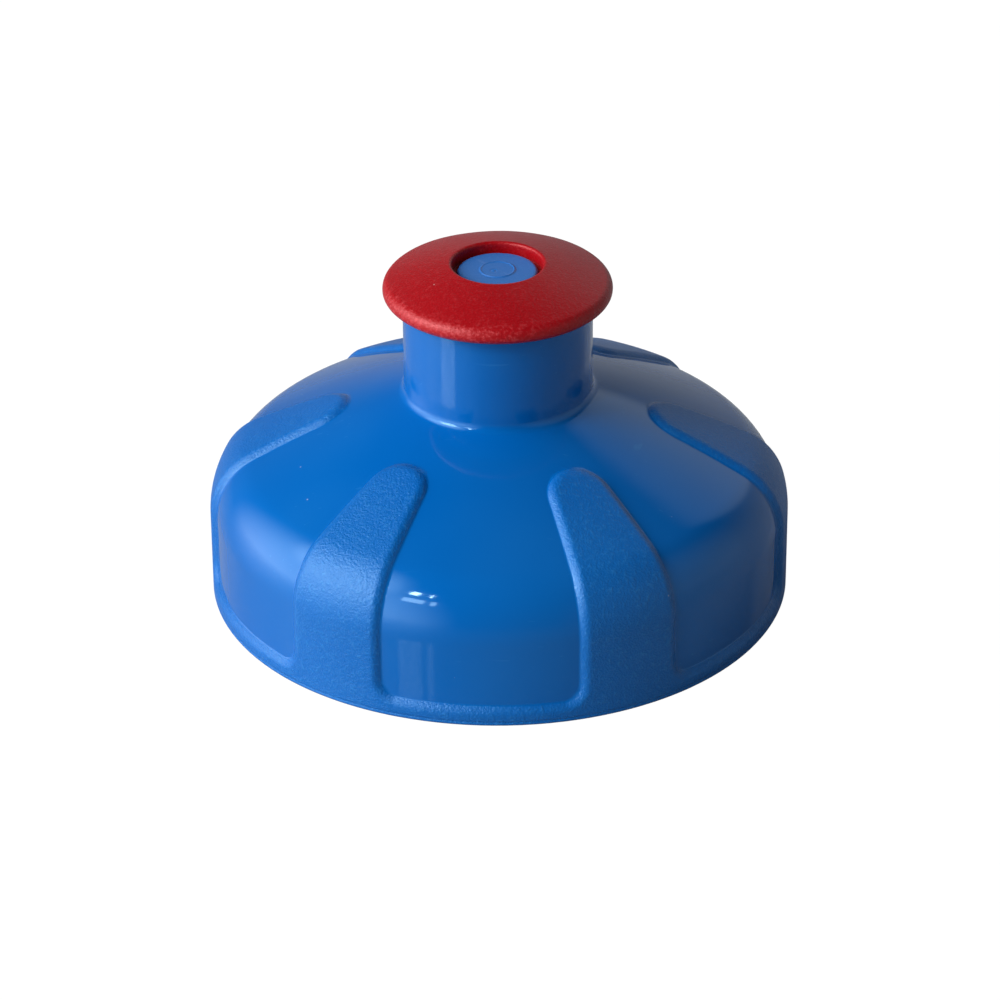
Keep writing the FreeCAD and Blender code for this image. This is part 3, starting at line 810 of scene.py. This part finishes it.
@dataclass
class PostInsert:
    """The fixed centre post with its plug, its hub ring and the three webs between them."""

    finishes: Finishes
    columns: int = 128
    post_r: float = 3.8
    core_r: float = 2.4
    plug_r: float = 4.84
    plug_h: float = 4.85
    cone_h: float = 0.8
    plug_round: float = 0.5
    disc_r: float = 2.04
    disc_lift: float = 0.05
    disc_rim: float = 0.10
    disc_rim_w: float = 0.11
    disc_step_w: float = 0.15
    roof: float = 2.0
    hub_r: float = 10.25
    hub_h: float = 3.4
    hub_wall: float = 1.55
    gate: tuple[float, float] = (-0.45, -0.35)
    nib_h: float = 0.06
    nib_w: float = 0.14
    moat_depth: float = 0.05
    moat_r: float = 0.3
    moat_w: float = 0.1
    web_count: int = 3
    web_w: float = 1.6
    web_h: float = 2.6
    web_power: float = 6.0
    web_in_post: float = 0.5
    web_in_hub: float = 0.7
    web_lift: float = 0.01
    web_points: int = 32
    mark_h: float = 0.12

    def __post_init__(self) -> None:
        """Takes the insert's place from the frame."""
        low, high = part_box("post_insert")
        self.base_z = low.z / MM
        self.top_z = high.z / MM - self.mark_h

    def post(self) -> Array:
        """The post and plug: an outline turned about Z, with the gate's nib raised on the plug's low disc.

        The disc and its rim are added to the top's height as a step and a narrow bell about the disc's edge. The
        nib is a bell about the gate's place, less a narrow bell about a circle round it.

        Returns:
            Grid of points with a pole at each end.
        """
        roof_z, cone_top = self.top_z - self.roof, self.top_z - self.plug_h
        body = rounded([(0.0, roof_z), (self.core_r, roof_z), (self.core_r, self.base_z),
                        (self.post_r, self.base_z), (self.post_r, cone_top - self.cone_h), (self.plug_r, cone_top),
                        (self.plug_r, self.top_z - self.plug_round - 0.1)], Edge.MOULDED.value, 2.0, closed=False)
        edge = arc((self.plug_r - self.plug_round, self.top_z - self.plug_round), self.plug_round, 0.0, 90.0, 7)
        # rings of points: wide apart outside the disc, close at its rim and over the gate
        top_r = np.concatenate([np.linspace(edge[-1, 0], self.disc_r + 0.4, 8),
                                np.linspace(self.disc_r + 0.35, 1.6, 22), np.linspace(1.5, 0.0, 20)])
        top = np.stack([top_r, np.full_like(top_r, self.top_z)], axis=1)
        grid = turn(chain(body, edge, top), even(self.columns))
        r = np.hypot(grid[..., 0], grid[..., 1])
        on_top = grid[..., 2] > self.top_z - 1e-6
        disc = self.disc_lift * smooth((self.disc_r - r) / self.disc_step_w + 0.5)
        rim = self.disc_rim * np.exp(-((r - self.disc_r) / self.disc_rim_w) ** 2)
        away = np.hypot(grid[..., 0] - self.gate[0], grid[..., 1] - self.gate[1])
        nib = self.nib_h * np.exp(-(away / self.nib_w) ** 2)
        nib = nib - self.moat_depth * np.exp(-((away - self.moat_r) / self.moat_w) ** 2)
        grid[..., 2] += np.where(on_top, np.minimum(disc + rim + nib, self.mark_h), 0.0)
        return grid

    def web(self, angle: float) -> Array:
        """One web: a rounded upright section carried outwards along a straight path from post to hub.

        The section is a superellipse in (across, up). Its size shrinks to nothing over the last bit of
        each end, which closes both poles inside the post and the hub.

        Args:
            angle: Direction of the web, in degrees.
        Returns:
            Grid of points with a pole at each end.
        """
        start, end = self.core_r + self.web_in_post, self.hub_r - self.hub_wall + self.web_in_hub
        along = np.array([0.0, 0.0, 0.25, 0.5, 0.75, 1.0, 1.0])
        size = np.array([0.0, 1.0, 1.0, 1.0, 1.0, 1.0, 0.0])[:, None]
        around = -even(self.web_points)
        power = 2.0 / self.web_power
        across = np.sign(np.cos(around)) * np.abs(np.cos(around)) ** power * self.web_w / 2.0
        up = np.sign(np.sin(around)) * np.abs(np.sin(around)) ** power * self.web_h / 2.0
        out = (start + (end - start) * along)[:, None] + 0.0 * across
        direction = math.radians(angle)
        x = out * math.cos(direction) - across * size * math.sin(direction)
        y = out * math.sin(direction) + across * size * math.cos(direction)
        z = self.base_z + self.web_lift + self.web_h / 2.0 + up * size
        return np.stack([x, y, z + 0.0 * x], axis=2)

    def build(self) -> None:
        """Builds the post, the hub and the webs."""
        piece = solid_mesh("centre_post", self.post(), closed_outline=False)
        self.finishes.dress(piece, "post_blue", "cap", "post_insert")
        inner = self.hub_r - self.hub_wall
        hub = rounded([(inner, self.base_z), (self.hub_r, self.base_z), (self.hub_r, self.base_z + self.hub_h),
                       (inner, self.base_z + self.hub_h)], Edge.MOULDED.value, 1.2)
        ring = solid_mesh("post_hub", turn(hub, even(self.columns)))
        self.finishes.dress(ring, "post_blue", "cap")
        for n in range(self.web_count):
            web = solid_mesh(f"post_web_{n + 1}", self.web(90.0 + n * 360.0 / self.web_count), closed_outline=False)
            self.finishes.dress(web, "post_blue", "cap")


# ---------------------------------------------------------------- mouthpiece


@dataclass
class Mouthpiece:
    """The sliding mouthpiece: red head, red stem, and the O-ring on the stem."""

    finishes: Finishes
    columns: int = 256
    stem_columns: int = 160
    head_r: float = 13.65
    under_round: float = 0.85
    top_round: float = 1.3
    slope: float = 16.3
    mouth_r: float = 5.41
    mouth_edge: float = 0.35
    crown: float = 0.14
    lip_r: float = 4.87
    mouth_h: float = 1.6
    lip_h: float = 0.6
    stem_r: float = 9.1
    stem_bore: float = 7.4
    bead_r: float = 9.6
    groove_r: float = 8.2
    flange_r: float = 11.2
    flange_t: float = 1.0
    flange_lift: float = 0.8
    flange_clear: float = 0.05
    groove_low: float = 1.0
    groove_high: float = 2.6
    stop_h: float = 3.57
    waviness: float = 0.035
    wave_below: float = 0.3
    wave_from_r: float = 10.0
    wave_fade_r: float = 3.0
    # painted highlight on the rim, on the side facing the lamps: its bearing, where it starts and fades, and how
    # far round it reaches
    highlight_bearing: float = -118.0
    highlight_from_r: float = 11.9
    highlight_fade_r: float = 1.2
    highlight_cos: float = 0.35
    highlight_cos_fade: float = 0.5

    def head(self) -> Array:
        """The head: a turned outline, with a slow unevenness of a few hundredths round its soft rim.

        The outline runs under the rim, round it, up a slightly crowned cone to the mouth, down the mouth to the
        sealing lip, and back round the stem's flange. The crown adds a half sine along the cone. The unevenness is
        a sum of three sines of the angle, times how near a point is to the rim.

        Returns:
            Grid of points.
        """
        low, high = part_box("mouthpiece_head")
        under_z, top_z = low.z / MM, high.z / MM
        equator = under_z + self.under_round
        lip_top, flange_z = top_z - self.mouth_h, under_z + self.flange_lift
        flange_top = flange_z + self.flange_t
        under = arc((self.head_r - self.under_round, equator), self.under_round, -90.0, 0.0, 8)
        over = arc((self.head_r - self.top_round, equator), self.top_round, 0.0, 90.0 - self.slope, 10)
        mouth = arc((self.mouth_r + self.mouth_edge, top_z - self.mouth_edge), self.mouth_edge, 90.0 - self.slope,
                    180.0, 8)
        share = np.linspace(0.0, 1.0, 18)[1:-1, None]
        cone = over[-1] + (mouth[0] - over[-1]) * share
        tilt = math.radians(self.slope)
        cone = cone + self.crown * np.sin(math.pi * share) * np.array([math.sin(tilt), math.cos(tilt)])
        pocket_r, hole_r = self.flange_r + self.flange_clear, self.stem_r + self.flange_clear
        pocket_z = flange_z - self.flange_clear
        inside = rounded([tuple(mouth[-1]), (self.mouth_r, lip_top), (self.lip_r, lip_top),
                          (self.lip_r, lip_top - self.lip_h), (self.stem_bore, flange_top), (pocket_r, flange_top),
                          (pocket_r, pocket_z), (hole_r, pocket_z), (hole_r, under_z), tuple(under[0])],
                         Edge.CRISP.value, 1.0, closed=False)
        outline = chain(under, over, cone, mouth, inside)[:-1]
        angles = even(self.columns)
        grid = turn(outline, angles)
        wave = 0.5 * np.sin(2 * angles + 0.6) + 0.3 * np.sin(5 * angles + 2.0) + 0.2 * np.sin(9 * angles)
        near_rim = smooth((outline[:, 0] - self.wave_from_r) / self.wave_fade_r)[:, None]
        raised = outline[:, 1:] > equator - self.wave_below
        grid[..., 2] += np.where(raised, self.waviness * wave * near_rim, 0.0)
        return grid

    def stem(self) -> Array:
        """The stem: beads, seal groove, tube and flange in one turned outline."""
        low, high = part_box("mouthpiece_stem")
        base, top = low.z / MM, high.z / MM
        groove_low, groove_high, stop_top = (base + h for h in (self.groove_low, self.groove_high, self.stop_h))
        flange = top - self.flange_t
        outline = rounded([(self.stem_bore, base), (self.bead_r, base), (self.bead_r, groove_low),
                           (self.groove_r, groove_low), (self.groove_r, groove_high), (self.bead_r, groove_high),
                           (self.bead_r, stop_top), (self.stem_r, stop_top), (self.stem_r, flange),
                           (self.flange_r, flange), (self.flange_r, top), (self.stem_bore, top)],
                          Edge.CRISP.value, 1.5)
        return turn(outline, even(self.stem_columns))

    def seal(self) -> Array:
        """The O-ring: a circle turned about Z."""
        low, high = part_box("stem_seal")
        section = (high.z - low.z) / MM / 2.0
        centre = (high.x / MM - section, (high.z + low.z) / MM / 2.0)
        return turn(arc(centre, section, 0.0, 360.0, 28)[:-1], even(self.stem_columns))

    def build(self) -> None:
        """Builds the head, the stem and the seal."""
        grid = self.head()
        head = solid_mesh("red_head", grid)
        out = np.hypot(grid[..., 0], grid[..., 1])
        # painted highlight: stored near the rim on the side facing the lamps, for the finish to paint lighter
        lit_side = np.cos(np.arctan2(grid[..., 1], grid[..., 0]) - math.radians(self.highlight_bearing))
        near_rim = smooth((out - self.highlight_from_r) / self.highlight_fade_r)
        store(head, "painted_rim_highlight", near_rim * smooth((lit_side - self.highlight_cos) / self.highlight_cos_fade))
        self.finishes.dress(head, "head_red", "mouthpiece", "mouthpiece_head")
        stem = solid_mesh("sliding_stem", self.stem())
        self.finishes.dress(stem, "stem_red", "mouthpiece", "mouthpiece_stem")
        seal = solid_mesh("stem_o_ring", self.seal())
        self.finishes.dress(seal, "seal_black", "seal", "stem_seal")


# ---------------------------------------------------------------- studio


@dataclass(frozen=True)
class Panel:
    """A rectangular soft light in metres, placed by its direction from the cap in degrees."""

    name: str
    bearing: float
    elevation: float
    distance: float
    width: float
    height: float
    radiance: float

    def build(self, target: Vector) -> None:
        """Adds the light, facing its target, with its power set from radiance and area."""
        way = direction(self.bearing, self.elevation)
        light = bpy.data.lights.new(self.name, "AREA")
        light.shape, light.size, light.size_y = "RECTANGLE", self.width, self.height
        light.energy = self.radiance * math.pi * self.width * self.height
        lamp = add_object(self.name, light)
        lamp.location = target + way * self.distance
        lamp.rotation_euler = way.to_track_quat("Z", "Y").to_euler()
        lamp.visible_camera = False


@dataclass(frozen=True)
class Glow:
    """A soft-edged bright patch of the room, placed by its direction from the cap, all in degrees."""

    bearing: float
    elevation: float
    inner: float
    outer: float
    radiance: float

    def level(self, nodes: Nodes, way: bpy.types.NodeSocket) -> bpy.types.NodeSocket:
        """Radiance towards a direction: full inside the inner angle, and nothing beyond the outer one.

        Args:
            nodes: Helper on the room's tree.
            way: Unit direction away from the cap.
        Returns:
            The patch's radiance.
        """
        near = nodes.add("ShaderNodeVectorMath", operation="DOT_PRODUCT")
        nodes.link(way, near.inputs[0])
        near.inputs[1].default_value = direction(self.bearing, self.elevation)
        outer, inner = (math.cos(math.radians(angle)) for angle in (self.outer, self.inner))
        return nodes.span(near.outputs["Value"], outer, inner, 0.0, self.radiance, kind="SMOOTHSTEP")


@dataclass
class Studio:
    """Pale floor, soft lights and camera. The floor's sizes are millimetres, the rest metres and degrees."""

    floor_r: float = 6000.0
    floor_hole_r: float = 34.55
    floor_columns: int = 96
    floor_z: float = -0.02
    floor_color: tuple[float, float, float, float] = (0.36, 0.37, 0.38, 1.0)
    floor_roughness: float = 0.08
    floor_white: float = 1.08
    floor_seen_white: float = 0.93
    room_color: tuple[float, float, float, float] = (0.93, 0.96, 1.0, 1.0)
    room_low: float = 0.12
    room_high: float = 0.04
    sensor_w: float = 36.0
    shift_x: float = 0.0009
    camera_bearing: float = -85.95
    camera_elevation: float = 29.3
    camera_distance: float = 0.550
    camera_roll: float = -0.40
    lens: float = 163.08
    target: Vector = field(default_factory=lambda: Vector((0.0, 0.0, 0.0105)))
    lights: tuple[Panel, ...] = (
        Panel("high pane", -123.8, 41.5, 1.0, 0.050, 0.085, 50.0),
        Panel("high slit", -116.4, 41.5, 1.0, 0.012, 0.085, 45.0),
        Panel("low pane", -121.5, 31.0, 1.0, 0.125, 0.10, 9.0),
        Panel("low slit", -113.5, 31.0, 1.0, 0.036, 0.10, 9.0),
        Panel("left window", -149.0, 32.0, 1.0, 0.30, 0.32, 13.0),
    )
    glows: tuple[Glow, ...] = (
        Glow(-162.0, 41.0, 4.0, 26.0, 4.2),
        Glow(-160.0, 2.0, 15.0, 60.0, 4.4),
        Glow(-12.0, 0.0, 20.0, 55.0, 0.5),
        Glow(72.0, 6.0, 24.0, 48.0, 0.32),
        Glow(60.0, 34.0, 13.0, 21.0, 0.5),
    )

    def floor(self) -> None:
        """A wide pale disc, open under the cap: white to the camera, satin to all else, clear from below."""
        edges = np.array([[self.floor_hole_r, self.floor_z], [self.floor_r, self.floor_z]])
        rings = turn(edges, even(self.floor_columns))
        inner = np.arange(self.floor_columns)
        outer = inner + self.floor_columns
        faces = np.stack([inner, outer, np.roll(outer, -1), np.roll(inner, -1)], axis=1)
        mesh = bpy.data.meshes.new("pale_floor")
        mesh.from_pydata((rings.reshape(-1, 3) * MM).tolist(), [], faces.tolist())
        floor = add_object("pale_floor", mesh)
        material = bpy.data.materials.new("pale floor")
        material.use_nodes = True
        nodes = Nodes(material.node_tree)
        satin = material.node_tree.nodes["Principled BSDF"]
        satin.inputs["Base Color"].default_value = self.floor_color
        satin.inputs["Roughness"].default_value = self.floor_roughness
        white = nodes.add("ShaderNodeEmission")
        white.inputs["Strength"].default_value = self.floor_white
        seen = nodes.add("ShaderNodeLightPath").outputs["Is Camera Ray"]
        top = nodes.shade(nodes.math("MULTIPLY", seen, self.floor_seen_white), satin, white)
        below = nodes.add("ShaderNodeNewGeometry").outputs["Backfacing"]
        sided = nodes.shade(below, top, nodes.add("ShaderNodeBsdfTransparent"))
        nodes.link(sided.outputs[0], material.node_tree.nodes["Material Output"].inputs["Surface"])
        mesh.materials.append(material)

    def surround(self) -> None:
        """The room: bright near the horizon and dark overhead, and white where the camera sees it."""
        world = bpy.data.worlds.new("studio surround")
        world.use_nodes = True
        bpy.context.scene.world = world
        nodes = Nodes(world.node_tree)
        way = nodes.add("ShaderNodeTexCoord").outputs["Generated"]
        split = nodes.add("ShaderNodeSeparateXYZ")
        nodes.link(way, split.inputs[0])
        level = nodes.span(split.outputs["Z"], 0.05, 0.62, self.room_low, self.room_high)
        for glow in self.glows:
            level = nodes.math("ADD", level, glow.level(nodes, way))
        room = nodes.add("ShaderNodeBackground")
        nodes.link(level, room.inputs["Strength"])
        room.inputs["Color"].default_value = self.room_color
        white = nodes.add("ShaderNodeBackground")
        white.inputs["Color"].default_value = (1.0, 1.0, 1.0, 1.0)
        mix = nodes.shade(nodes.add("ShaderNodeLightPath").outputs["Is Camera Ray"], room, white)
        nodes.link(mix.outputs[0], world.node_tree.nodes["World Output"].inputs["Surface"])

    def camera(self) -> None:
        """A long lens on the cap, turned about its own view by the roll."""
        back = direction(self.camera_bearing, self.camera_elevation)
        right = Vector((0.0, 0.0, 1.0)).cross(back).normalized()
        up = back.cross(right)
        turned = Matrix((right, up, back)).transposed() @ Matrix.Rotation(math.radians(self.camera_roll), 3, "Z")
        data = bpy.data.cameras.new("studio camera")
        data.lens, data.sensor_width, data.shift_x = self.lens, self.sensor_w, self.shift_x
        data.clip_start = 0.01
        camera = add_object("studio camera", data)
        camera.matrix_world = Matrix.Translation(self.target + back * self.camera_distance) @ turned.to_4x4()
        bpy.context.scene.camera = camera

    def build(self) -> None:
        """Builds floor, surround, lights and camera."""
        self.floor()
        self.surround()
        for light in self.lights:
            light.build(self.target)
        self.camera()
        bpy.context.scene.view_settings.view_transform = "Standard"


def main() -> None:
    logging.basicConfig(level=logging.INFO, format="%(message)s")
    Studio().build()
    finishes = Finishes()
    for assembly in (ScrewCap(finishes), RimGasket(finishes), PostInsert(finishes), Mouthpiece(finishes)):
        assembly.build()


if __name__ == "__main__":
    main()
